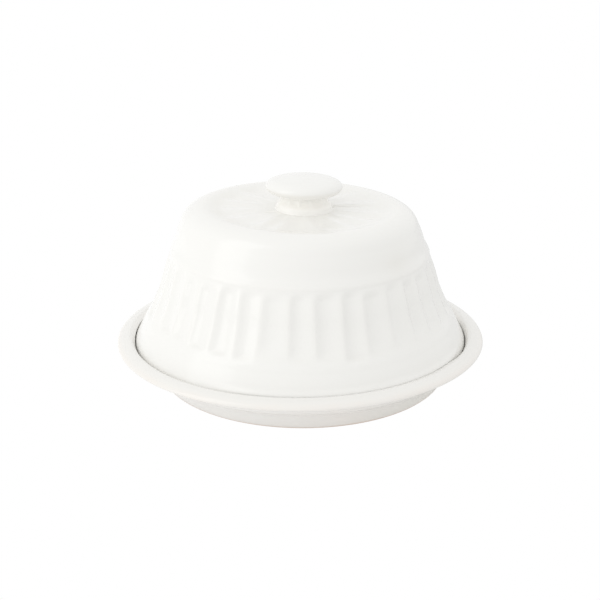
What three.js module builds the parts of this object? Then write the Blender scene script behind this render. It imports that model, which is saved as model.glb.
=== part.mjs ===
// Round covered butter crock: a footed dish with a raised rim, and a fluted domed lid with a
// mushroom knob that sits inside the rim. Millimetres, +Z up, front towards -Y, floor at z = 0.
import * as THREE from "three";

// Clearance between pieces that touch
const GAP = 0.3;

// Dish
const RIM_RADIUS = 90.2;
const RIM_EDGE_Z = 19.3;
const RIM_CREST_RADIUS = 84.4;
const RIM_CREST_Z = 22.3;
const SEAT_RADIUS = 82.3;
const SEAT_Z = 17.5;
const WELL_RADIUS = 65.5;
const WELL_FLOOR_Z = 7.5;
const FOOT_RADIUS = 70.8;
const FOOT_RING_INNER_RADIUS = 64;
const FOOT_RECESS_Z = 3.3;
const FOOT_OFFSET_X = 1.4; // the thrown foot stands slightly off the rim's centre
const FOOT_OFFSET_Y = 3.5;
const FOOT_OFFSET_FADE_Z = 14;
const RIM_LIFT = 1.4; // the thrown rim rises a little towards the front
const RIM_LIFT_ANGLE = THREE.MathUtils.degToRad(-68);
const RIM_LIFT_START_RADIUS = 81.4;
const RIM_LIFT_FULL_RADIUS = 85;

// Lid
const LID_BASE_RADIUS = 81.15;
const LID_BASE_Z = SEAT_Z + GAP;
const FLUTE_COUNT = 36;
const FLUTE_DEPTH = 1.3;
const FLUTE_SKEW = 0.65; // below 1 the cut is steep on its first side and eases out on the other
const FLUTE_BOTTOM_Z = 34.6;
const FLUTE_TOP_Z = 63.9;
const LIP_RADIUS = 62.6;
const LID_CREST_RADIUS = 46.2;
const LID_CREST_Z = 85.6;
const PANEL_RADIUS = 43.6;
const PANEL_Z = 84.4;
const PETAL_COUNT = 15;
const PETAL_DEPTH = 0.8;
const ROOF_UNDERSIDE_Z = 79.5;
const LID_TURN = THREE.MathUtils.degToRad(65.7); // how the flutes and petals happen to face
const LID_FORWARD = 0.8; // the lid rests against the front of the rim
const TOP_TILT = THREE.MathUtils.degToRad(1.1); // the lid's top is thrown slightly low on the right
const TILT_START_Z = 35;
const TILT_FULL_Z = 80;

// Knob
const KNOB_OFFSET = 1.9; // the knob is luted on slightly right of centre
const KNOB_BASE_RADIUS = 13.2;
const KNOB_NECK_RADIUS = 11;
const KNOB_CAP_RADIUS = 18.2;
const KNOB_TOP_Z = 99.6;
const NECK_FLUTE_COUNT = 12;
const NECK_FLUTE_DEPTH = 0.5;

// Columns round each ring
const PLAIN_COLUMNS = 72;
const CENTRE_COLUMNS = 24;
const FLUTE_COLUMNS = FLUTE_COUNT * 4;
const PETAL_COLUMNS = PETAL_COUNT * 8;
const KNOB_COLUMNS = NECK_FLUTE_COUNT * 4;

const UP = new THREE.Vector3(0, 0, 1);
const GLAZE = { color: 0xf2f0ea, roughness: 0.22, metalness: 0 };

// Depth of a concave scallop across one of count equal bays: 0 on the arris, 1 where it is deepest
function scallop(angle, count, skew) {
  const across = (((angle * count) / (2 * Math.PI)) % 1) ** skew;
  return 4 * across * (1 - across);
}

// The lid sits forward on its seat and its top leans: heights drop towards +X, more and more
// above the foot of the flutes
function seatLid(point) {
  point.y -= LID_FORWARD;
  const share = THREE.MathUtils.clamp((point.z - TILT_START_Z) / (TILT_FULL_Z - TILT_START_Z), 0, 1);
  point.z -= point.x * Math.tan(TOP_TILT) * share;
  return point;
}

// The dish's rim lifts towards the front and its foot is sheared off centre, both fading out between
function warpDish(point) {
  const angle = Math.atan2(point.y, point.x);
  const facing = Math.max(0, Math.cos(angle - RIM_LIFT_ANGLE));
  const radius = Math.hypot(point.x, point.y);
  const reach = THREE.MathUtils.smoothstep(radius, RIM_LIFT_START_RADIUS, RIM_LIFT_FULL_RADIUS);
  const low = THREE.MathUtils.clamp(1 - point.z / FOOT_OFFSET_FADE_Z, 0, 1);
  point.x += FOOT_OFFSET_X * low;
  point.y += FOOT_OFFSET_Y * low;
  point.z += RIM_LIFT * reach * facing ** 2;
  return point;
}

// One ring of points at a radius and height; scoopR and scoopZ cut it in and down by the scallop
function ring({ r, z, columns = PLAIN_COLUMNS, bays = 0, skew = 1, scoopR = 0, scoopZ = 0 }, place) {
  if (r === 0) {
    return [place(new THREE.Vector3(0, 0, z))];
  }
  const points = [];
  for (let i = 0; i < columns; i += 1) {
    const angle = (2 * Math.PI * i) / columns;
    const cut = bays ? scallop(angle, bays, skew) : 0;
    const radius = r - scoopR * cut;
    const x = radius * Math.cos(angle);
    const y = radius * Math.sin(angle);
    points.push(place(new THREE.Vector3(x, y, z - scoopZ * cut)));
  }
  return points;
}

// Triangles between two rings that may have different numbers of points; a lone point takes no steps
function bridge(a, b, startA, startB, triangles) {
  const stepsA = a.length > 1 ? a.length : 0;
  const stepsB = b.length > 1 ? b.length : 0;
  let i = 0;
  let j = 0;
  while (i < stepsA || j < stepsB) {
    const p = startA + (i % a.length);
    const q = startB + (j % b.length);
    if (j === stepsB || (i < stepsA && (i + 1) / stepsA <= (j + 1) / stepsB)) {
      i += 1;
      triangles.push(p, startA + (i % a.length), q);
    } else {
      j += 1;
      triangles.push(p, startB + (j % b.length), q);
    }
  }
}

// Closed body of revolution from an outline that starts and ends on the axis
function turned(name, outline, place) {
  const rings = outline.map((row) => ring(row, place));
  const positions = [];
  const triangles = [];
  let start = 0;
  rings.forEach((points, k) => {
    points.forEach((point) => positions.push(point.x, point.y, point.z));
    if (k + 1 < rings.length) {
      bridge(points, rings[k + 1], start, start + points.length, triangles);
    }
    start += points.length;
  });
  const geometry = new THREE.BufferGeometry();
  geometry.setAttribute("position", new THREE.Float32BufferAttribute(positions, 3));
  geometry.setIndex(triangles);
  geometry.computeVertexNormals();
  const mesh = new THREE.Mesh(geometry, new THREE.MeshStandardMaterial(GLAZE));
  mesh.name = name;
  return mesh;
}

// Footed dish: turned recess and foot ring, flared underside, rolled rim, lid seat and well
function makeDish() {
  const outline = [
    { r: 0, z: FOOT_RECESS_Z },
    { r: 22, z: FOOT_RECESS_Z, columns: CENTRE_COLUMNS },
    { r: FOOT_RING_INNER_RADIUS - 3.6, z: FOOT_RECESS_Z - 0.1 },
    { r: FOOT_RING_INNER_RADIUS - 1, z: FOOT_RECESS_Z - 0.9 },
    { r: FOOT_RING_INNER_RADIUS, z: 0.8 },
    { r: FOOT_RING_INNER_RADIUS + 0.8, z: 0 },
    { r: FOOT_RADIUS - 0.9, z: 0 },
    { r: FOOT_RADIUS, z: 0.6 },
    { r: FOOT_RADIUS + 1, z: 3.2 },
    { r: FOOT_RADIUS + 2.4, z: 6.8 },
    { r: FOOT_RADIUS + 4.7, z: 10 },
    { r: 79.6, z: 12.9 },
    { r: 83.6, z: 15.4 },
    { r: 87, z: 17.4 },
    { r: RIM_RADIUS - 1.2, z: RIM_EDGE_Z - 1.1 },
    { r: RIM_RADIUS - 0.2, z: RIM_EDGE_Z - 0.6 },
    { r: RIM_RADIUS, z: RIM_EDGE_Z },
    { r: RIM_RADIUS - 0.5, z: RIM_EDGE_Z + 1 },
    { r: RIM_RADIUS - 2, z: RIM_EDGE_Z + 2 },
    { r: RIM_CREST_RADIUS + 1.8, z: RIM_CREST_Z - 0.3 },
    { r: RIM_CREST_RADIUS, z: RIM_CREST_Z },
    { r: RIM_CREST_RADIUS - 1.2, z: RIM_CREST_Z - 0.4 },
    { r: SEAT_RADIUS + 0.3, z: RIM_CREST_Z - 1.4 },
    { r: SEAT_RADIUS, z: RIM_CREST_Z - 3 },
    { r: SEAT_RADIUS - 0.5, z: SEAT_Z + 0.4 },
    { r: SEAT_RADIUS - 1.4, z: SEAT_Z },
    { r: 76, z: SEAT_Z },
    { r: 74.2, z: SEAT_Z - 0.8 },
    { r: 71.3, z: 13.8 },
    { r: WELL_RADIUS + 3, z: 10.6 },
    { r: WELL_RADIUS, z: WELL_FLOOR_Z + 1 },
    { r: WELL_RADIUS - 3.5, z: WELL_FLOOR_Z + 0.3 },
    { r: 22, z: WELL_FLOOR_Z, columns: CENTRE_COLUMNS },
    { r: 0, z: WELL_FLOOR_Z },
  ];
  return turned("dish", outline, warpDish);
}

// Arris line of the fluted band: a gentle flare between the lip and the plain base band
function fluteRows() {
  const rows = [
    { r: 73.65, z: FLUTE_BOTTOM_Z, share: 0 },
    { r: 73, z: FLUTE_BOTTOM_Z + 1.2, share: 0.75 },
    { r: 71.95, z: 38, share: 1 },
    { r: 70.2, z: 42, share: 1 },
    { r: 67.9, z: 48, share: 1 },
    { r: 65.9, z: 55, share: 1 },
    { r: 64.2, z: 60, share: 1 },
    { r: 63.2, z: FLUTE_TOP_Z - 1.6, share: 0.7 },
    { r: LIP_RADIUS, z: FLUTE_TOP_Z, share: 0 },
  ];
  const band = { columns: FLUTE_COLUMNS, bays: FLUTE_COUNT, skew: FLUTE_SKEW };
  return rows.map(({ r, z, share }) => ({ r, z, ...band, scoopR: FLUTE_DEPTH * share }));
}

// Rosette of concave petals sunk in the top panel, from its edge in to the knob's foot
function petalRows() {
  const rows = [
    { r: PANEL_RADIUS - 0.8, z: PANEL_Z + 0.5, share: 0 },
    { r: PANEL_RADIUS - 3, z: PANEL_Z + 0.1, share: 0.5 },
    { r: 38, z: PANEL_Z, share: 0.9 },
    { r: 33, z: PANEL_Z, share: 1 },
    { r: 24, z: PANEL_Z, share: 0.6 },
    { r: 15, z: PANEL_Z, share: 0.15 },
  ];
  const band = { columns: PETAL_COLUMNS, bays: PETAL_COUNT };
  return rows.map(({ r, z, share }) => ({ r, z, ...band, scoopZ: PETAL_DEPTH * share }));
}

// Domed lid: hollow shell, plain base band, fluted band, shoulder, raised ring and petal panel
function makeLidDome() {
  const outline = [
    { r: 0, z: ROOF_UNDERSIDE_Z },
    { r: 20, z: ROOF_UNDERSIDE_Z, columns: CENTRE_COLUMNS },
    { r: 44.5, z: ROOF_UNDERSIDE_Z },
    { r: 49.3, z: 78.5 },
    { r: 52.6, z: 75.6 },
    { r: 54.8, z: 71 },
    { r: 56.6, z: 66 },
    { r: 60.6, z: 55 },
    { r: 65, z: 42 },
    { r: 70, z: 31 },
    { r: 74.4, z: 22 },
    { r: LID_BASE_RADIUS - 5.5, z: LID_BASE_Z + 1.3 },
    { r: LID_BASE_RADIUS - 5, z: LID_BASE_Z + 0.4 },
    { r: LID_BASE_RADIUS - 4.2, z: LID_BASE_Z },
    { r: LID_BASE_RADIUS - 1.5, z: LID_BASE_Z },
    { r: LID_BASE_RADIUS - 0.4, z: LID_BASE_Z + 0.5 },
    { r: LID_BASE_RADIUS, z: LID_BASE_Z + 1.4 },
    { r: LID_BASE_RADIUS, z: 20.4 },
    { r: LID_BASE_RADIUS - 0.4, z: 21.6 },
    { r: 79.75, z: 23.2 },
    { r: 77.8, z: 27 },
    { r: 75.7, z: 31 },
    ...fluteRows(),
    { r: LIP_RADIUS - 0.2, z: FLUTE_TOP_Z + 1 },
    { r: 61.5, z: 66.8 },
    { r: 60.2, z: 69.5 },
    { r: 58.5, z: 74.5 },
    { r: 57, z: 78 },
    { r: 55.4, z: 81.1 },
    { r: 53.4, z: 83.1 },
    { r: 50.8, z: 84.6 },
    { r: LID_CREST_RADIUS + 1.8, z: LID_CREST_Z - 0.3 },
    { r: LID_CREST_RADIUS, z: LID_CREST_Z },
    { r: LID_CREST_RADIUS - 1.6, z: LID_CREST_Z - 0.2 },
    ...petalRows(),
    { r: 0, z: PANEL_Z },
  ];
  return turned("lid_dome", outline, (point) => seatLid(point.applyAxisAngle(UP, LID_TURN)));
}

// Mushroom knob: spreading collar, fluted neck and a thin domed cap
function makeLidKnob() {
  const base = PANEL_Z + GAP;
  const outline = [
    { r: 0, z: base },
    { r: KNOB_BASE_RADIUS - 0.8, z: base },
    { r: KNOB_BASE_RADIUS, z: base + 0.5 },
    { r: KNOB_BASE_RADIUS - 0.3, z: base + 1.3 },
    { r: 12.2, z: base + 2.6 },
    { r: 11.4, z: base + 4.2, scoopR: NECK_FLUTE_DEPTH },
    { r: KNOB_NECK_RADIUS, z: base + 5.4, scoopR: NECK_FLUTE_DEPTH },
    { r: KNOB_NECK_RADIUS, z: base + 6.4, scoopR: NECK_FLUTE_DEPTH },
    { r: 11.6, z: base + 7.2 },
    { r: 13.4, z: base + 7.7 },
    { r: 15.8, z: base + 8 },
    { r: KNOB_CAP_RADIUS - 0.9, z: base + 8.6 },
    { r: KNOB_CAP_RADIUS - 0.2, z: base + 9.6 },
    { r: KNOB_CAP_RADIUS, z: base + 10.8 },
    { r: KNOB_CAP_RADIUS - 0.9, z: base + 12.2 },
    { r: 15, z: KNOB_TOP_Z - 1.5 },
    { r: 11.5, z: KNOB_TOP_Z - 0.8 },
    { r: 6, z: KNOB_TOP_Z - 0.2 },
    { r: 0, z: KNOB_TOP_Z },
  ];
  const rows = outline.map((row) => {
    return { ...row, columns: KNOB_COLUMNS, bays: NECK_FLUTE_COUNT };
  });
  return turned("lid_knob", rows, (point) => {
    point.x += KNOB_OFFSET;
    return seatLid(point);
  });
}

const part = new THREE.Group();
part.name = "butter_crock";
part.add(makeDish(), makeLidDome(), makeLidKnob());

export default part;
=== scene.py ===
"""Looks for the round covered butter crock: glazed footed dish, fluted domed lid and mushroom knob."""

import math

import bpy
import numpy as np
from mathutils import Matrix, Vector


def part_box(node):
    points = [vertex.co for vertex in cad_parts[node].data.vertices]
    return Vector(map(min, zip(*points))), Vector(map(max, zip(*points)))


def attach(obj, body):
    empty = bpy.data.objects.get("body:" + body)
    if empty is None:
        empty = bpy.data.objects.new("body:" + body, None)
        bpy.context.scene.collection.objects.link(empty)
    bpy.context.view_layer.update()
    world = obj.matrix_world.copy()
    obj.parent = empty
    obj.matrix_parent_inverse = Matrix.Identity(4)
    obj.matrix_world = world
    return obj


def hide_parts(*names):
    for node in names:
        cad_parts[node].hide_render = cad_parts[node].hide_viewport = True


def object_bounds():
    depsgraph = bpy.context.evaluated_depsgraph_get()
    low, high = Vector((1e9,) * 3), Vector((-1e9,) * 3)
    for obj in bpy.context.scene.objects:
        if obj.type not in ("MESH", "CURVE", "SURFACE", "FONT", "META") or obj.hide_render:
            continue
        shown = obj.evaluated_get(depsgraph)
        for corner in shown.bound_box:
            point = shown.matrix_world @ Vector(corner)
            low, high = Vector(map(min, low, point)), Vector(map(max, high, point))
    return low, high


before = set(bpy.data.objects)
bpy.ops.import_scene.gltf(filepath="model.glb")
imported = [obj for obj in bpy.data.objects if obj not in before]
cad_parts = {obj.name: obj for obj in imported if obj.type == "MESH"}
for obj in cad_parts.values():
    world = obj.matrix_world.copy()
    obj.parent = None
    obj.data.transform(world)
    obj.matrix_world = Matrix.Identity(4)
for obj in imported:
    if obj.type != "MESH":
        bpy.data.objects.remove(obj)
CAD_LOW, CAD_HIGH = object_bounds()

MM = 0.001
DISH_LOW, DISH_HIGH = (np.array(corner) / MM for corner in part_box("dish"))
DOME_LOW, DOME_HIGH = (np.array(corner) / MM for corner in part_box("lid_dome"))
KNOB_LOW, KNOB_HIGH = (np.array(corner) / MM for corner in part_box("lid_knob"))

# ---- Sizes in millimetres: the outlines start from the frame's boxes and go on by offsets ----
RIM_RADIUS = (DISH_HIGH[0] - DISH_LOW[0]) / 2
RIM_LIFT = 1.4
RIM_LIFT_ANGLE = math.radians(-68)
RIM_CREST_Z = DISH_HIGH[2] - 1.3
RIM_EDGE_Z = RIM_CREST_Z - 3
FOOT_Z = DISH_LOW[2]
FOOT_RADIUS = RIM_RADIUS - 19.4
FOOT_RING_INNER = FOOT_RADIUS - 6.8
FOOT_RECESS_Z = FOOT_Z + 3.3
FOOT_OFFSET_X = 1.4
FOOT_OFFSET_Y = 3.5
FOOT_FADE_Z = 14
SEAT_Z = RIM_CREST_Z - 4.8
WELL_RADIUS = RIM_RADIUS - 24.7
WELL_Z = SEAT_Z - 10
CREST_RADIUS = RIM_RADIUS - 6.0
# Except at two open gaps, glaze fills the crease between lid and rim up to a sloping lip
LIP_SLOPE = 0.33
FILL_LOW_Z = RIM_CREST_Z - 4
FILL_HIGH_Z = RIM_CREST_Z - 2.6
FILL_INWARD = 0.2
# The gaps, in degrees round the axis: from, to and how softly they end
GAP_LEFT = (188, 246, 9)
GAP_RIGHT = (-25, 8, 7)
# Swells left by throwing: size, how many in one turn, phase
RIM_HEIGHT_SWELLS = ((0.16, 2, 0.6), (0.1, 3, 2.1), (0.05, 5, 4))
RIM_RADIUS_SWELLS = ((0.12, 3, 1.0),)

BASE_RADIUS = (DOME_HIGH[0] - DOME_LOW[0]) / 2
BASE_Z = DOME_LOW[2]
SEAT_RADIUS = BASE_RADIUS + 0.45
SKIRT_SWELLS = ((0.1, 2, 2.5),)
SHOULDER_SWELLS = ((0.22, 2, 0.9), (0.12, 3, 4.2))
THROWING_RING = 0.008
THROWING_PITCH = 3.4
# Glaze at the lid's foot bulges a little into the filled crease along the front
BULGE = 0.7
BULGE_Z = BASE_Z + 4.7
BULGE_SPAN = (246, 335, 9)
FLUTES = 36
FLUTE_DEPTH = 1.3
FLUTE_JITTER = 0.07  # how far a flute's edge strays, as a share of its width
FLUTE_LEAN = 1.4
FLUTE_SOFTNESS = 0.45
FLUTE_SKEW = 0.6  # above 0 a flute is steep on its first side and eases out on the other
FLUTE_BOTTOM_Z = BASE_Z + 16.8
FLUTE_TOP_Z = BASE_Z + 46.1
PANEL_Z = BASE_Z + 66.6
PANEL_RADIUS = 43.6
PETALS = 15
PETAL_DEPTH = 0.7
PETAL_JITTER = 0.14
PETAL_SOFTNESS = 0.5
# Tool marks running out from the knob: direction and width in degrees, depth as a share of a petal's
PANEL_MARKS = ((13, 4.0, 0.8), (47, 5.0, 0.5), (-148, 4.0, 0.4), (-70, 5.0, 0.35))
LID_TURN = math.radians(65.7)
LID_Y = (DOME_LOW[1] + DOME_HIGH[1]) / 2
TILT = math.tan(math.radians(1.1))
TILT_START_Z = 35
TILT_FULL_Z = 80

KNOB_X = (KNOB_LOW[0] + KNOB_HIGH[0]) / 2
CAP_RADIUS = (KNOB_HIGH[0] - KNOB_LOW[0]) / 2
CAP_SWELLS = ((0.16, 2, 1.2),)
KNOB_FOOT_Z = PANEL_Z + 0.3
KNOB_TOP_Z = PANEL_Z + 15.2
NECK_FLUTES = 12
NECK_FLUTE_DEPTH = 0.55
NECK_JITTER = 0.1
NECK_SOFTNESS = 0.25
NECK_TURN = 0.2

# Seeds of the hand-cut details
FLUTE_CUT_SEED = 12
FLUTE_PLACE_SEED = 5
PETAL_CUT_SEED = 3
PETAL_PLACE_SEED = 9
NECK_PLACE_SEED = 21

LID_COLUMNS = 432
DISH_COLUMNS = 360
KNOB_COLUMNS = 240
# mm along an outline between rows of points. The lid's step and columns keep it under 200,000 triangles
ROW_STEP = 0.55
LID_ROW_STEP = 0.75
KNOB_ROW_STEP = 0.35
FOOT_ROW_STEP = 1.4
WELL_ROW_STEP = 2.5
LID_INSIDE_ROW_STEP = 3
PANEL_ROW_STEP = 2


# ---------------------------------------------------------------- outlines and waves
def curve(points, step=ROW_STEP):
    """Smooth outline through (radius, height) points: centripetal Catmull-Rom, about step apart."""
    p = np.array(points, float)
    ends = np.vstack([2 * p[0] - p[1], p, 2 * p[-1] - p[-2]])
    rows = []
    for k in range(1, len(ends) - 2):
        a, b, c, d = ends[k - 1 : k + 3]
        t1 = max(np.linalg.norm(b - a), 1e-6) ** 0.5
        t2 = t1 + max(np.linalg.norm(c - b), 1e-6) ** 0.5
        t3 = t2 + max(np.linalg.norm(d - c), 1e-6) ** 0.5
        count = max(2, int(math.ceil(np.linalg.norm(c - b) / step)))
        for t in np.linspace(t1, t2, count, endpoint=False):
            ab = a * (t1 - t) / t1 + b * t / t1
            bc = b * (t2 - t) / (t2 - t1) + c * (t - t1) / (t2 - t1)
            cd = c * (t3 - t) / (t3 - t2) + d * (t - t2) / (t3 - t2)
            abc = ab * (t2 - t) / t2 + bc * t / t2
            bcd = bc * (t3 - t) / (t3 - t1) + cd * (t - t1) / (t3 - t1)
            rows.append(abc * (t2 - t) / (t2 - t1) + bcd * (t - t1) / (t2 - t1))
    rows.append(p[-1])
    return np.array(rows)


def ramp(value, low, high):
    """Smooth step from 0 at low to 1 at high."""
    t = np.clip((value - low) / (high - low), 0, 1)
    return t * t * (3 - 2 * t)


def bead(value, centre, width):
    """Soft bump, 1 at centre and fading over about width on each side."""
    return np.exp(-(((value - centre) / width) ** 2))


def span(value, low, high, soft):
    """1 between low and high, fading to 0 over soft on each side."""
    return ramp(value, low - soft, low + soft) * (1 - ramp(value, high - soft, high + soft))


def swells(angle, terms):
    return sum(size * np.sin(count * angle + phase) for size, count, phase in terms)


def bays(angle, count, jitter, seed, slant=None, lean=0.0):
    """Place of an angle across one of count hand-cut bays: index and 0..1 across it.

    slant is the height within the band, from -0.5 to 0.5, and lean is how much each edge drifts with it.
    """
    rng = np.random.default_rng(seed)
    edges = np.arange(count) + rng.uniform(-jitter, jitter, count)
    drift = rng.uniform(-jitter, jitter, count)
    if slant is not None:
        edges = edges + drift * slant * lean
    edges = np.concatenate([edges[-1:] - count, edges, edges[:1] + count])
    turn = (angle / (2 * math.pi) * count) % count
    place = np.interp(turn, edges, np.arange(-1, count + 1))
    index = np.floor(place).astype(int) % count
    return index, place - np.floor(place)


def scallop(across, softness):
    """Concave cut across a bay, 0 on the arris and 1 in the middle, the arris softened by the glaze."""
    cut = 4 * across * (1 - across)
    soft = np.sqrt(cut * cut + softness * softness) - softness
    return soft / (math.sqrt(1 + softness * softness) - softness)


# ---------------------------------------------------------------- mesh from an outline
def turned(name, rows, columns, place, masks):
    """Closed turned piece: place(r, z, angle) gives x, y, z and masks gives named point attributes."""
    angle = np.linspace(0, 2 * math.pi, columns, endpoint=False)[None, :]
    r = rows[1:-1, :1]
    z = rows[1:-1, 1:]
    x, y, h = place(r, z, angle)
    count = len(rows) - 2
    body = np.stack([x, y, h], -1).reshape(-1, 3)
    poles = []
    for end in (rows[0], rows[-1]):
        px, py, pz = place(np.array([[end[0]]]), np.array([[end[1]]]), np.array([[0.0]]))
        poles.append([px[0, 0], py[0, 0], pz[0, 0]])
    points = np.vstack([body, poles]) * MM
    grid = np.arange(count * columns).reshape(count, columns)
    here = grid[:-1]
    above = grid[1:]
    quads = np.stack([here, np.roll(here, -1, 1), np.roll(above, -1, 1), above], -1).reshape(-1, 4)
    first, last = count * columns, count * columns + 1
    low = np.stack([np.full(columns, first), np.roll(grid[0], -1), grid[0]], -1)
    high = np.stack([grid[-1], np.roll(grid[-1], -1), np.full(columns, last)], -1)
    faces = [tuple(q) for q in quads.tolist()] + [tuple(t) for t in low.tolist() + high.tolist()]
    mesh = bpy.data.meshes.new(name)
    mesh.from_pydata(points.tolist(), [], faces)
    mesh.polygons.foreach_set("use_smooth", [True] * len(mesh.polygons))
    for key, value in masks(r, z, angle).items():
        full = np.broadcast_to(value, (count, columns)).reshape(-1)
        full = np.concatenate([full, [full[0], full[-1]]]).astype(np.float32)
        mesh.attributes.new(key, "FLOAT", "POINT").data.foreach_set("value", full)
    mesh.update()
    piece = bpy.data.objects.new(name, mesh)
    bpy.context.scene.collection.objects.link(piece)
    return piece


# ---------------------------------------------------------------- dish
def dish_rows():
    under = [
        (0, FOOT_RECESS_Z),
        (20, FOOT_RECESS_Z),
        (45, FOOT_RECESS_Z),
        (FOOT_RING_INNER - 4.2, FOOT_RECESS_Z - 0.1),
        (FOOT_RING_INNER - 1, FOOT_RECESS_Z - 0.9),
        (FOOT_RING_INNER, FOOT_Z + 0.8),
        (FOOT_RING_INNER + 0.8, FOOT_Z + 0.02),
    ]
    wall = [
        (FOOT_RING_INNER + 1.4, FOOT_Z),
        (FOOT_RADIUS - 1.5, FOOT_Z),
        (FOOT_RADIUS - 0.7, FOOT_Z + 0.05),
        (FOOT_RADIUS, FOOT_Z + 0.6),
        (FOOT_RADIUS + 0.45, FOOT_Z + 1.6),
        (FOOT_RADIUS + 1, FOOT_Z + 3.2),
        (FOOT_RADIUS + 2.4, FOOT_Z + 6.8),
        (FOOT_RADIUS + 4.7, FOOT_Z + 10),
        (RIM_RADIUS - 10.6, RIM_EDGE_Z - 6.4),
        (RIM_RADIUS - 6.6, RIM_EDGE_Z - 3.9),
        (RIM_RADIUS - 3.2, RIM_EDGE_Z - 1.9),
        (RIM_RADIUS - 1.2, RIM_EDGE_Z - 1.1),
        (RIM_RADIUS - 0.25, RIM_EDGE_Z - 0.6),
        (RIM_RADIUS, RIM_EDGE_Z),
        (RIM_RADIUS - 0.5, RIM_EDGE_Z + 1),
        (RIM_RADIUS - 2, RIM_EDGE_Z + 2),
        (CREST_RADIUS + 1.8, RIM_CREST_Z - 0.3),
        (CREST_RADIUS, RIM_CREST_Z),
        (CREST_RADIUS - 1.2, RIM_CREST_Z - 0.3),
        (SEAT_RADIUS + 0.7, RIM_CREST_Z - 1.2),
        (SEAT_RADIUS + 0.1, RIM_CREST_Z - 2.4),
        (SEAT_RADIUS, RIM_CREST_Z - 3.6),
        (SEAT_RADIUS - 0.5, SEAT_Z + 0.4),
        (SEAT_RADIUS - 1.4, SEAT_Z),
        (SEAT_RADIUS - 3.4, SEAT_Z),
        (SEAT_RADIUS - 6.3, SEAT_Z),
        (SEAT_RADIUS - 8.1, SEAT_Z - 0.8),
        (SEAT_RADIUS - 11, SEAT_Z - 3.7),
        (WELL_RADIUS + 3, SEAT_Z - 6.9),
        (WELL_RADIUS, WELL_Z + 1),
        (WELL_RADIUS - 3.5, WELL_Z + 0.3),
        (WELL_RADIUS - 12, WELL_Z + 0.05),
    ]
    floor = [(WELL_RADIUS - 12, WELL_Z + 0.05), (20, WELL_Z), (0, WELL_Z)]
    return np.vstack([curve(under, FOOT_ROW_STEP)[:-1], curve(wall)[:-1], curve(floor, WELL_ROW_STEP)])


def place_dish(r, z, angle):
    """The rim swells and rises to the front right, and the foot stands a little off its centre."""
    rim = ramp(r, FOOT_RADIUS + 6, RIM_RADIUS - 3)
    radius = r + rim * swells(angle, RIM_RADIUS_SWELLS)
    facing = np.clip(np.cos(angle - RIM_LIFT_ANGLE), 0, 1)
    lift = RIM_LIFT * ramp(r, SEAT_RADIUS - 0.7, SEAT_RADIUS + 2.9) * facing**2
    low = np.clip(1 - (z - FOOT_Z) / FOOT_FADE_Z, 0, 1)
    # The seat's wall follows the lid, which sits towards the front
    seat = (1 - ramp(r, SEAT_RADIUS + 0.5, CREST_RADIUS)) * ramp(z, SEAT_Z - 1, SEAT_Z)
    direction = np.degrees(angle)
    closed = 1 - span(direction, *GAP_LEFT) - span((direction + 180) % 360 - 180, *GAP_RIGHT)
    fill = closed * ramp(z, FILL_LOW_Z, FILL_HIGH_Z) * (r < CREST_RADIUS)
    lip = RIM_CREST_Z + RIM_LIFT * facing**2 - LIP_SLOPE * (CREST_RADIUS - r)
    radius = radius - FILL_INWARD * fill * (1 - ramp(r, SEAT_RADIUS + 0.6, CREST_RADIUS))
    x = radius * np.cos(angle) + FOOT_OFFSET_X * low
    y = radius * np.sin(angle) + FOOT_OFFSET_Y * low + LID_Y * seat
    return x, y, (z + lift) * (1 - fill) + lip * fill + rim * swells(angle, RIM_HEIGHT_SWELLS)


def dish_masks(r, z, angle):
    """Thin glaze and painted shade: edges, and painted shade on the foot's wall under the rim, heavier
    towards the right. Pooled glaze and painted shade: corners inside, the rim, and more painted shade on
    the right of the foot's wall. Bare: foot ring.
    """
    inner_edge = 0.7 * bead(r, SEAT_RADIUS + 0.8, 0.7) * ramp(z, SEAT_Z + 2, RIM_CREST_Z)
    edges = bead(r, RIM_RADIUS - 0.3, 1.4) + inner_edge
    wobble = 0.5 + 0.5 * np.sin(7 * angle + 0.4) * np.sin(3 * angle + 2)
    ring = ramp(r, FOOT_RING_INNER - 1.5, FOOT_RING_INNER)
    bare = ramp(-(z - FOOT_Z), -1.3 - 0.5 * wobble, -0.3) * ring
    seat_corner = bead(r, SEAT_RADIUS - 0.3, 1.2) * ramp(-z, -SEAT_Z - 2, -SEAT_Z)
    pool_and_painted_shading = seat_corner + bead(r, WELL_RADIUS, 4) * ramp(z, WELL_Z - 1, WELL_Z)
    # Painted shade on the foot's outer wall under the rim, a quarter as strong on the left as on the
    # right, away from the light; on the right it also takes the pooling tone
    side = 0.25 + 0.75 * ramp(np.cos(angle), -0.5, 0.5)
    under_rim = 1 - ramp(z, RIM_EDGE_Z - 3, RIM_EDGE_Z - 0.8)
    painted_flank_shade = side * ramp(r, FOOT_RADIUS - 2, FOOT_RADIUS - 0.5) * under_rim
    right = ramp(np.cos(angle), 0.1, 0.8)
    rim = ramp(r, RIM_RADIUS - 9, RIM_RADIUS - 5) * ramp(z, RIM_EDGE_Z - 2, RIM_EDGE_Z)
    return {
        "thin_and_painted_shade": np.clip(edges + painted_flank_shade, 0, 1),
        "pool_and_painted_shading": np.clip(pool_and_painted_shading + 0.35 * rim + right * painted_flank_shade, 0, 1),
        "bare": np.clip(bare, 0, 1),
    }


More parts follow.
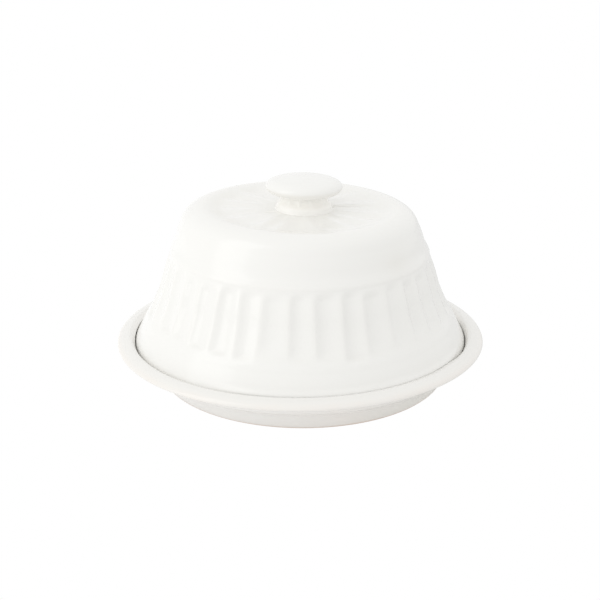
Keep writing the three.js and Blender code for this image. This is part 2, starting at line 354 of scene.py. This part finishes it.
# ---------------------------------------------------------------- lid dome
def lid_rows():
    top = PANEL_Z
    inside = [
        (0, top - 5.2),
        (20, top - 5.2),
        (38, top - 5.2),
        (44.5, top - 5.4),
        (49.3, top - 6.4),
        (52.6, top - 9.1),
        (54.8, top - 13.7),
        (56.6, top - 18.7),
        (60.6, top - 29.7),
        (65, top - 42.7),
        (70, top - 53.7),
        (74.4, top - 62.7),
        (BASE_RADIUS - 5.5, BASE_Z + 1.3),
    ]
    outer = [
        (BASE_RADIUS - 5.5, BASE_Z + 1.3),
        (BASE_RADIUS - 5, BASE_Z + 0.4),
        (BASE_RADIUS - 4.2, BASE_Z + 0.02),
        (BASE_RADIUS - 2.8, BASE_Z),
        (BASE_RADIUS - 1.5, BASE_Z + 0.02),
        (BASE_RADIUS - 0.4, BASE_Z + 0.5),
        (BASE_RADIUS, BASE_Z + 1.4),
        (BASE_RADIUS - 0.1, BASE_Z + 2.3),
        (BASE_RADIUS - 0.5, BASE_Z + 3.5),
        (BASE_RADIUS - 1.25, BASE_Z + 5),
        (BASE_RADIUS - 2.1, BASE_Z + 6.6),
        (BASE_RADIUS - 3.35, BASE_Z + 9.2),
        (75.7, BASE_Z + 13.2),
        (74.25, FLUTE_BOTTOM_Z - 1),
        (73.65, FLUTE_BOTTOM_Z),
        (72.8, FLUTE_BOTTOM_Z + 1.5),
        (71.95, FLUTE_BOTTOM_Z + 3.4),
        (70.2, FLUTE_BOTTOM_Z + 7.4),
        (67.9, FLUTE_BOTTOM_Z + 13.4),
        (65.9, FLUTE_BOTTOM_Z + 20.4),
        (64.2, FLUTE_BOTTOM_Z + 25.4),
        (63.2, FLUTE_TOP_Z - 1.6),
        (62.6, FLUTE_TOP_Z),
        (62.4, FLUTE_TOP_Z + 1),
        (61.5, FLUTE_TOP_Z + 2.9),
        (60.2, FLUTE_TOP_Z + 5.6),
        (58.5, FLUTE_TOP_Z + 10.6),
        (57, FLUTE_TOP_Z + 14.1),
        (55.4, FLUTE_TOP_Z + 17.2),
        (53.4, top - 1.3),
        (50.8, top + 0.15),
        (48, top + 0.95),
        (46.2, top + 1.12),
        (44.6, top + 0.95),
        (PANEL_RADIUS - 0.8, top + 0.6),
        (PANEL_RADIUS - 3, top + 0.25),
        (37.5, top + 0.05),
        (33, top),
        (24, top),
        (15, top),
    ]
    centre = [(15, top), (8, top), (0, top)]
    inside_rows = curve(inside, LID_INSIDE_ROW_STEP)[:-1]
    return np.vstack([inside_rows, curve(outer, LID_ROW_STEP)[:-1], curve(centre, PANEL_ROW_STEP)])


LID_ROWS = lid_rows()
LID_OUTSIDE_FROM = int(np.argmax(LID_ROWS[:, 0] >= BASE_RADIUS - 3.0))
OUTSIDE = (np.arange(len(LID_ROWS)) >= LID_OUTSIDE_FROM).astype(float)[:, None]


def outside_of(r):
    """1 on the lid's outer skin and 0 on its inner one, for the rows in hand."""
    if r.shape[0] == len(LID_ROWS) - 2:
        return OUTSIDE[1:-1]
    return np.ones_like(r)


def lid_cuts(r, z, angle):
    """How deep each outside point lies in a flute and in a petal, 0 to 1."""
    outside = outside_of(r)
    turn = angle - LID_TURN
    rng = np.random.default_rng(FLUTE_CUT_SEED)
    deep = rng.uniform(0.82, 1.15, FLUTES)
    top_shift = rng.uniform(-0.9, 0.4, FLUTES)
    low_shift = rng.uniform(-1.7, 0.5, FLUTES)
    low_fade = rng.uniform(2.5, 8.0, FLUTES)
    height = (z - FLUTE_BOTTOM_Z) / (FLUTE_TOP_Z - FLUTE_BOTTOM_Z)
    flute = np.zeros((r.shape[0], angle.shape[1]))
    for row in range(r.shape[0]):
        if not (outside[row, 0] and -0.1 < height[row, 0] < 1.1):
            continue
        slant = height[row, 0] - 0.5
        index, across = bays(turn[0], FLUTES, FLUTE_JITTER, FLUTE_PLACE_SEED, slant, FLUTE_LEAN)
        across = across * (1 + FLUTE_SKEW) / (1 + FLUTE_SKEW * across)
        top = FLUTE_TOP_Z + top_shift[index]
        low = FLUTE_BOTTOM_Z + low_shift[index]
        window = ramp(z[row, 0], low, low + low_fade[index]) * (1 - ramp(z[row, 0], top - 4.6, top))
        flute[row] = scallop(across, FLUTE_SOFTNESS) * window * deep[index]
    index, across = bays(turn, PETALS, PETAL_JITTER, PETAL_PLACE_SEED)
    depth = np.random.default_rng(PETAL_CUT_SEED).uniform(0.55, 1.35, PETALS)[index]
    reach = ramp(r, 13, 34) * (1 - ramp(r, PANEL_RADIUS - 8, PANEL_RADIUS + 0.6))
    petal = scallop(across, PETAL_SOFTNESS) * reach * outside * (z > PANEL_Z - 3) * depth
    for direction, width, cut in PANEL_MARKS:
        apart = np.degrees(np.angle(np.exp(1j * (angle - math.radians(direction)))))
        mark = bead(apart, 0, width) * ramp(r, 12, 17) * (1 - ramp(r, 28, 38))
        petal = petal + mark * cut * outside * (z > PANEL_Z - 3)
    return flute, petal


def place_lid(r, z, angle):
    """Cuts the flutes and petals, adds the unevenness of throwing, and tips the upper part right."""
    outside = outside_of(r)
    flute, petal = lid_cuts(r, z, angle)
    shoulder = ramp(z, FLUTE_TOP_Z + 2, FLUTE_TOP_Z + 10) * ramp(r, 40, 48)
    skirt = 1 - ramp(z, FLUTE_BOTTOM_Z - 6, FLUTE_BOTTOM_Z)
    swell = shoulder * swells(angle, SHOULDER_SWELLS) + skirt * swells(angle, SKIRT_SWELLS)
    rings = THROWING_RING * np.sin(2 * math.pi * z / THROWING_PITCH + angle)
    rings = rings * ramp(z, BASE_Z + 4, BASE_Z + 8) * ramp(r, 46, 52)
    lip = 0.2 * bead(z, FLUTE_TOP_Z + 1.9, 1.9) * ramp(r, 57, 60)
    step = 0.15 * bead(z, FLUTE_BOTTOM_Z - 2.0, 1.3)
    bulge = BULGE * bead(z, BULGE_Z, 1.3) * ramp(r, 77, 79) * span(np.degrees(angle), *BULGE_SPAN)
    radius = r + outside * (swell + rings + lip + step + bulge) - FLUTE_DEPTH * flute
    height = z - PETAL_DEPTH * petal
    share = np.clip((height - TILT_START_Z) / (TILT_FULL_Z - TILT_START_Z), 0, 1)
    x = radius * np.cos(angle)
    y = radius * np.sin(angle) + LID_Y
    return x, y, height - x * TILT * share


def lid_masks(r, z, angle):
    """Thin glaze: arrises and edges. Pooled glaze and painted shade: the cuts, the panel's recess with
    painted shade on its left wall, painted shade at the flutes' lower ends, one smudge. Bare: the very
    foot.
    """
    outside = outside_of(r)
    flute, petal = lid_cuts(r, z, angle)
    band = ramp(z, FLUTE_BOTTOM_Z, FLUTE_BOTTOM_Z + 3) * (1 - ramp(z, FLUTE_TOP_Z - 4, FLUTE_TOP_Z))
    arris = band * np.exp(-flute * 9) * outside
    foot = bead(z, BASE_Z + 0.6, 1.3) * ramp(r, 74, 76)
    crest = 0.3 * bead(r, 46.6, 1.8) * ramp(z, PANEL_Z, PANEL_Z + 1)
    lip = 0.5 * bead(z, FLUTE_TOP_Z + 1.2, 1.0) * outside * ramp(r, 58, 61)
    # Painted shade: a darker tone in the concave corner at the lower end of each flute
    painted_flute_end_shade = 0.5 * bead(z, FLUTE_BOTTOM_Z + 0.6, 1.4) * outside
    # Painted shade on the left inner wall of the panel's recess, which faces away from the light; the
    # small even share all round is pooling glaze
    left = np.clip(-np.cos(angle - math.radians(35)), 0, 1)
    ditch_pool_and_painted_shade = (0.15 + 0.6 * left) * bead(r, PANEL_RADIUS - 3.2, 3.4) * ramp(z, PANEL_Z - 3, PANEL_Z - 1.5)
    smudge = 0.5 * bead(np.degrees(angle), 317, 8) * bead(z, BASE_Z + 53, 5) * outside
    return {
        "thin_and_painted_shade": np.clip(0.2 * arris + 0.8 * foot + crest + 0.3 * lip, 0, 1),
        "pool_and_painted_shading": np.clip(0.25 * petal + 0.5 * painted_flute_end_shade * np.clip(flute * 2, 0, 1) + ditch_pool_and_painted_shade + smudge, 0, 1),
        "bare": 0.25 * bead(z, BASE_Z, 0.5),
    }


# ---------------------------------------------------------------- knob
def knob_rows():
    low = KNOB_FOOT_Z
    points = [
        (0, low - 1.5),
        (6, low - 1.5),
        (12, low - 1.4),
        (14.6, low - 0.8),
        (13.9, low - 0.2),
        (13.5, low + 0.6),
        (13.3, low + 1.4),
        (12.8, low + 2.3),
        (12, low + 3.3),
        (11.3, low + 4.6),
        (11, low + 5.8),
        (11.1, low + 6.6),
        (11.8, low + 7.3),
        (13.4, low + 7.7),
        (15.8, low + 8),
        (CAP_RADIUS - 0.9, low + 8.6),
        (CAP_RADIUS - 0.2, low + 9.6),
        (CAP_RADIUS, low + 10.8),
        (CAP_RADIUS - 0.9, low + 12.2),
        (15, KNOB_TOP_Z - 1.5),
        (11.5, KNOB_TOP_Z - 0.8),
        (6, KNOB_TOP_Z - 0.2),
        (0, KNOB_TOP_Z),
    ]
    return curve(points, KNOB_ROW_STEP)


def neck_cut(z, angle):
    """How deep each point lies in one of the neck's flutes, 0 to 1."""
    _, across = bays(angle + NECK_TURN, NECK_FLUTES, NECK_JITTER, NECK_PLACE_SEED)
    low = KNOB_FOOT_Z
    window = ramp(z, low + 2.4, low + 4.2) * (1 - ramp(z, low + 6, low + 7.4))
    return scallop(across, NECK_SOFTNESS) * window


def place_knob(r, z, angle):
    cap = ramp(z, PANEL_Z + 8, PANEL_Z + 10)
    oval = cap * r / CAP_RADIUS * swells(angle, CAP_SWELLS)
    radius = r - NECK_FLUTE_DEPTH * neck_cut(z, angle) + oval
    x = radius * np.cos(angle) + KNOB_X
    y = radius * np.sin(angle) + LID_Y
    return x, y, z - x * TILT


def knob_masks(r, z, angle):
    """Thin glaze and painted shade: the cap's edge, with painted shade on its downward-facing lower
    half. Painted light in the pooling mask: the neck, above 1 so that the share the glaze takes of it is
    nearly all of it.
    """
    # Thin glaze on the cap's edge, and painted shade on its lower, downward-facing half
    edge = bead(r, CAP_RADIUS, 0.9) * (1 - ramp(z, PANEL_Z + 10.2, PANEL_Z + 11.4))
    # Painted light: the neck under the cap takes a tone lighter than the body, standing in for light
    # reaching it
    neck = 1.6 * ramp(z, PANEL_Z - 1, PANEL_Z + 1) * (1 - ramp(z, PANEL_Z + 8.4, PANEL_Z + 9.4))
    return {
        "thin_and_painted_shade": np.clip(edge, 0, 1),
        "pool_and_painted_shading": neck,
        "bare": 0,
    }


# ---------------------------------------------------------------- glaze
# Linear colours: the glaze's body, its warm tone where it is thinly spread, and its tone where it pools.
# The warm tone also paints shade on the dish's foot wall and the cap's lower edge; the pooling tone also
# paints shade on the dish's foot wall, the flutes' lower ends and the recess's left wall, and the knob's
# lighter one paints light on the neck
WHITE = (0.893, 0.889, 0.864)
LID_WARM = (0.9, 0.875, 0.83)
DISH_GLAZE = ((0.885, 0.876, 0.853), (0.89, 0.84, 0.79), (0.82, 0.81, 0.76))
DOME_GLAZE = (WHITE, LID_WARM, (0.82, 0.805, 0.75))
# The knob's pooling tone is lighter than its body: painted light on the neck
KNOB_GLAZE = (WHITE, LID_WARM, (1.0, 0.988, 0.952))
CLOUD_TINT = (0.985, 0.98, 0.965)  # how much each channel keeps inside a cloud
SPECK_BROWN = (0.62, 0.55, 0.46)
CLAY_LIGHT = (0.74, 0.6, 0.5)
CLAY_DARK = (0.6, 0.46, 0.37)
CLOUD_SHARE = 0.55
POOL_AND_PAINTED_SHADING_SHARE = 0.6
SPECK_SHARE = 0.35
GLAZE_IOR = 1.5
COAT_WEIGHT = 0.25
COAT_ROUGHNESS = 0.06
ROUGHNESS_LOW = 0.18
ROUGHNESS_HIGH = 0.3
BARE_ROUGHER = 0.6
PEEL_HEIGHT = 0.25  # heights are shares of BUMP_DISTANCE
PIT_HEIGHT = -0.6
BUMP_STRENGTH = 0.35
BUMP_DISTANCE = 0.00035


def node(tree, kind, place, **values):
    made = tree.nodes.new(kind)
    made.location = place
    for key, value in values.items():
        setattr(made, key, value)
    return made


def feed(tree, socket, value):
    """Links value into the socket if it is an output, and otherwise sets it there."""
    if hasattr(value, "is_linked"):
        tree.links.new(value, socket)
    elif isinstance(value, tuple):
        socket.default_value = (*value, 1)
    else:
        socket.default_value = value


def map_range(tree, place, value, start, end, low=0, high=1):
    """Value from start to end, clamped, as low to high."""
    made = node(tree, "ShaderNodeMapRange", place)
    made.inputs["From Min"].default_value = start
    made.inputs["From Max"].default_value = end
    made.inputs["To Min"].default_value = low
    made.inputs["To Max"].default_value = high
    tree.links.new(value, made.inputs["Value"])
    return made.outputs[0]


def glaze(name, body, warm, pooled_and_painted_shading, seed):
    """Glossy off-white glaze: clouded, warm where thinly spread, toned where it pools, with painted
    shade and painted light laid through these two tones, pinholes, bare clay.
    """
    material = bpy.data.materials.new(name)
    material.use_nodes = True
    tree = material.node_tree
    tree.nodes.clear()
    link = tree.links.new
    out = node(tree, "ShaderNodeOutputMaterial", (900, 0))
    shader = node(tree, "ShaderNodeBsdfPrincipled", (600, 0))
    link(shader.outputs["BSDF"], out.inputs["Surface"])
    shader.inputs["IOR"].default_value = GLAZE_IOR
    shader.inputs["Coat Weight"].default_value = COAT_WEIGHT
    shader.inputs["Coat Roughness"].default_value = COAT_ROUGHNESS
    coords = node(tree, "ShaderNodeTexCoord", (-1500, 0))
    mapping = node(tree, "ShaderNodeMapping", (-1300, 0))
    mapping.inputs["Location"].default_value = (seed * 0.37, seed * 0.11, seed * 0.53)
    link(coords.outputs["Object"], mapping.inputs["Vector"])

    def noise(scale, detail, place):
        made = node(tree, "ShaderNodeTexNoise", place)
        made.inputs["Scale"].default_value = scale
        made.inputs["Detail"].default_value = detail
        link(mapping.outputs["Vector"], made.inputs["Vector"])
        return made

    def attribute(key, place):
        return node(tree, "ShaderNodeAttribute", place, attribute_name=key)

    def mix(place, factor, a, b):
        made = node(tree, "ShaderNodeMix", place, data_type="RGBA")
        # On a colour mix, inputs 6 and 7 are the two colours and output 2 is the result
        for socket, value in ((made.inputs[0], factor), (made.inputs[6], a), (made.inputs[7], b)):
            feed(tree, socket, value)
        return made.outputs[2]

    def math_node(operation, place, a, b):
        made = node(tree, "ShaderNodeMath", place, operation=operation)
        feed(tree, made.inputs[0], a)
        feed(tree, made.inputs[1], b)
        return made.outputs[0]

    clouds = noise(28, 3, (-1050, 300))
    cloud_amount = math_node("MULTIPLY", (-850, 300), clouds.outputs["Fac"], CLOUD_SHARE)
    clouded = tuple(channel * kept for channel, kept in zip(body, CLOUD_TINT))
    shade = mix((-600, 300), cloud_amount, body, clouded)
    # Warm tone of thinly spread glaze on edges, also laid as painted shade on the dish's foot wall and
    # the cap's lower edge
    thin_and_painted_shade = attribute("thin_and_painted_shade", (-1050, 100))
    patchy = noise(90, 2, (-1050, -60))
    thin_and_painted_shade_amount = math_node("MULTIPLY", (-850, 60), thin_and_painted_shade.outputs["Fac"], patchy.outputs["Fac"])
    shade = mix((-400, 260), thin_and_painted_shade_amount, shade, warm)
    # Tone of glaze pooling in hollows, also laid as painted shade on the dish's foot wall, the flutes'
    # lower ends and the recess's left wall, and as painted light on the knob's neck
    pool_and_painted_shading = attribute("pool_and_painted_shading", (-1050, -220))
    pool_and_painted_shading_amount = math_node("MULTIPLY", (-850, -220), pool_and_painted_shading.outputs["Fac"], POOL_AND_PAINTED_SHADING_SHARE)
    shade = mix((-200, 220), pool_and_painted_shading_amount, shade, pooled_and_painted_shading)
    specks = node(tree, "ShaderNodeTexVoronoi", (-1050, -420))
    specks.inputs["Scale"].default_value = 95
    link(mapping.outputs["Vector"], specks.inputs["Vector"])
    dots = map_range(tree, (-850, -420), specks.outputs["Distance"], 0.035, 0.06, 1, 0)
    rare = noise(14, 0, (-1050, -640))
    chance = map_range(tree, (-850, -640), rare.outputs["Fac"], 0.56, 0.66)
    pinhole = math_node("MULTIPLY", (-650, -500), dots, chance)
    speck_amount = math_node("MULTIPLY", (-450, -500), pinhole, SPECK_SHARE)
    shade = mix((0, 180), speck_amount, shade, SPECK_BROWN)
    bare = attribute("bare", (-1050, -860))
    grain = noise(900, 4, (-1050, -1020))
    clay = mix((-600, -900), grain.outputs["Fac"], CLAY_LIGHT, CLAY_DARK)
    shade = mix((200, 140), bare.outputs["Fac"], shade, clay)
    link(shade, shader.inputs["Base Color"])

    fine = noise(260, 3, (-1050, -1200))
    rough = map_range(tree, (-850, -1200), fine.outputs["Fac"], 0, 1, ROUGHNESS_LOW, ROUGHNESS_HIGH)
    bare_rough = math_node("MULTIPLY", (-650, -1100), bare.outputs["Fac"], BARE_ROUGHER)
    link(math_node("ADD", (-450, -1150), rough, bare_rough), shader.inputs["Roughness"])

    peel = noise(150, 2, (-1050, -1400))
    ripple = noise(34, 1, (-1050, -1560))
    peel_height = math_node("MULTIPLY", (-850, -1400), peel.outputs["Fac"], PEEL_HEIGHT)
    relief = math_node("ADD", (-650, -1450), peel_height, ripple.outputs["Fac"])
    pits = math_node("MULTIPLY", (-450, -1450), pinhole, PIT_HEIGHT)
    relief = math_node("ADD", (-250, -1400), relief, pits)
    gritty = math_node("MULTIPLY", (-450, -1600), grain.outputs["Fac"], bare.outputs["Fac"])
    relief = math_node("ADD", (-50, -1400), relief, gritty)
    bump = node(tree, "ShaderNodeBump", (300, -400))
    bump.inputs["Strength"].default_value = BUMP_STRENGTH
    bump.inputs["Distance"].default_value = BUMP_DISTANCE
    link(relief, bump.inputs["Height"])
    link(bump.outputs["Normal"], shader.inputs["Normal"])
    return material


def finish_piece(piece, material, body, cad_node):
    piece.data.materials.append(material)
    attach(piece, body)
    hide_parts(cad_node)


# ---------------------------------------------------------------- camera
CAMERA_DISTANCE = 0.570
CAMERA_ELEVATION = math.radians(20.5)
AIM_SHARE = 0.3706  # the height looked at, as a share of the object's height
LENS = 69.2
SENSOR = 36

aim = Vector((0, 0, CAD_LOW.z + AIM_SHARE * (CAD_HIGH.z - CAD_LOW.z)))
away = Vector((0, -math.cos(CAMERA_ELEVATION), math.sin(CAMERA_ELEVATION)))
camera_data = bpy.data.cameras.new("camera")
camera_data.lens = LENS
camera_data.sensor_width = SENSOR
camera = bpy.data.objects.new("camera", camera_data)
camera.location = aim + away * CAMERA_DISTANCE
camera.rotation_euler = (math.pi / 2 - CAMERA_ELEVATION, 0, 0)
bpy.context.scene.collection.objects.link(camera)
bpy.context.scene.camera = camera

# ---------------------------------------------------------------- pieces
dish = turned("dish_body", dish_rows(), DISH_COLUMNS, place_dish, dish_masks)
dome = turned("lid_dome_body", LID_ROWS, LID_COLUMNS, place_lid, lid_masks)
knob = turned("lid_knob_body", knob_rows(), KNOB_COLUMNS, place_knob, knob_masks)
finish_piece(dish, glaze("dish_glaze", *DISH_GLAZE, seed=1), "dish", "dish")
finish_piece(dome, glaze("dome_glaze", *DOME_GLAZE, seed=2), "lid", "lid_dome")
finish_piece(knob, glaze("knob_glaze", *KNOB_GLAZE, seed=3), "lid", "lid_knob")

# ---------------------------------------------------------------- floor and light
FLOOR_SIZE = 80
FLOOR_DROP = 0.0002
CARD_ALBEDO = 0.5
# The card's glow falls off from left to right, across the object's width
CARD_REACH = 0.13
CARD_GLOW_LEFT = 0.53
CARD_GLOW_RIGHT = 0.31
WORLD_STRENGTH = 0.95
KEY_PLACE = (-0.95, -0.45, 0.72)
KEY_SIZE = (0.7, 1.4)
KEY_WATTS = 2.4


def white_floor(name, albedo, emission):
    """Matt floor of the given albedo that also glows."""
    half = FLOOR_SIZE / 2
    mesh = bpy.data.meshes.new(name)
    corners = [(-half, -half, 0), (half, -half, 0), (half, half, 0), (-half, half, 0)]
    mesh.from_pydata(corners, [], [(0, 1, 2, 3)])
    plane = bpy.data.objects.new(name, mesh)
    plane.location.z = CAD_LOW.z - FLOOR_DROP
    bpy.context.scene.collection.objects.link(plane)
    material = bpy.data.materials.new(name)
    material.use_nodes = True
    shader = material.node_tree.nodes["Principled BSDF"]
    shader.inputs["Base Color"].default_value = (albedo, albedo, albedo, 1)
    shader.inputs["Roughness"].default_value = 1
    shader.inputs["Specular IOR Level"].default_value = 0
    shader.inputs["Emission Color"].default_value = (1, 1, 1, 1)
    shader.inputs["Emission Strength"].default_value = emission
    mesh.materials.append(material)
    return plane


# The floor that is seen is a plain white glow, which neither lights nor shades the object
seen_floor = white_floor("floor_seen", 0.0, 1.0)
seen_floor.visible_diffuse = False
seen_floor.visible_glossy = False
seen_floor.visible_transmission = False
seen_floor.visible_shadow = False
# The floor that lights the object is a card that the camera doesn't see, glowing as linked below
bounce_floor = white_floor("floor_bounce", CARD_ALBEDO, CARD_GLOW_LEFT)
bounce_floor.visible_camera = False
card = bounce_floor.data.materials[0].node_tree
card_place = node(card, "ShaderNodeTexCoord", (-900, -200))
card_axes = node(card, "ShaderNodeSeparateXYZ", (-700, -200))
card.links.new(card_place.outputs["Object"], card_axes.inputs[0])
card_glow = map_range(
    card, (-500, -200), card_axes.outputs["X"], -CARD_REACH, CARD_REACH, CARD_GLOW_LEFT, CARD_GLOW_RIGHT
)
card.links.new(card_glow, card.nodes["Principled BSDF"].inputs["Emission Strength"])

world = bpy.data.worlds.new("studio")
bpy.context.scene.world = world
world.use_nodes = True
background = world.node_tree.nodes["Background"]
background.inputs["Strength"].default_value = WORLD_STRENGTH
background.inputs["Color"].default_value = (1, 1, 1, 1)


def softbox(name, location, target, size, watts):
    data = bpy.data.lights.new(name, "AREA")
    data.shape = "RECTANGLE"
    data.size, data.size_y = size
    data.energy = watts
    lamp = bpy.data.objects.new(name, data)
    lamp.location = location
    lamp.rotation_euler = (Vector(target) - Vector(location)).to_track_quat("-Z", "Y").to_euler()
    bpy.context.scene.collection.objects.link(lamp)


softbox("key_left", KEY_PLACE, aim, KEY_SIZE, KEY_WATTS)

bpy.context.scene.view_settings.view_transform = "Standard"
bpy.context.scene.view_settings.look = "None"
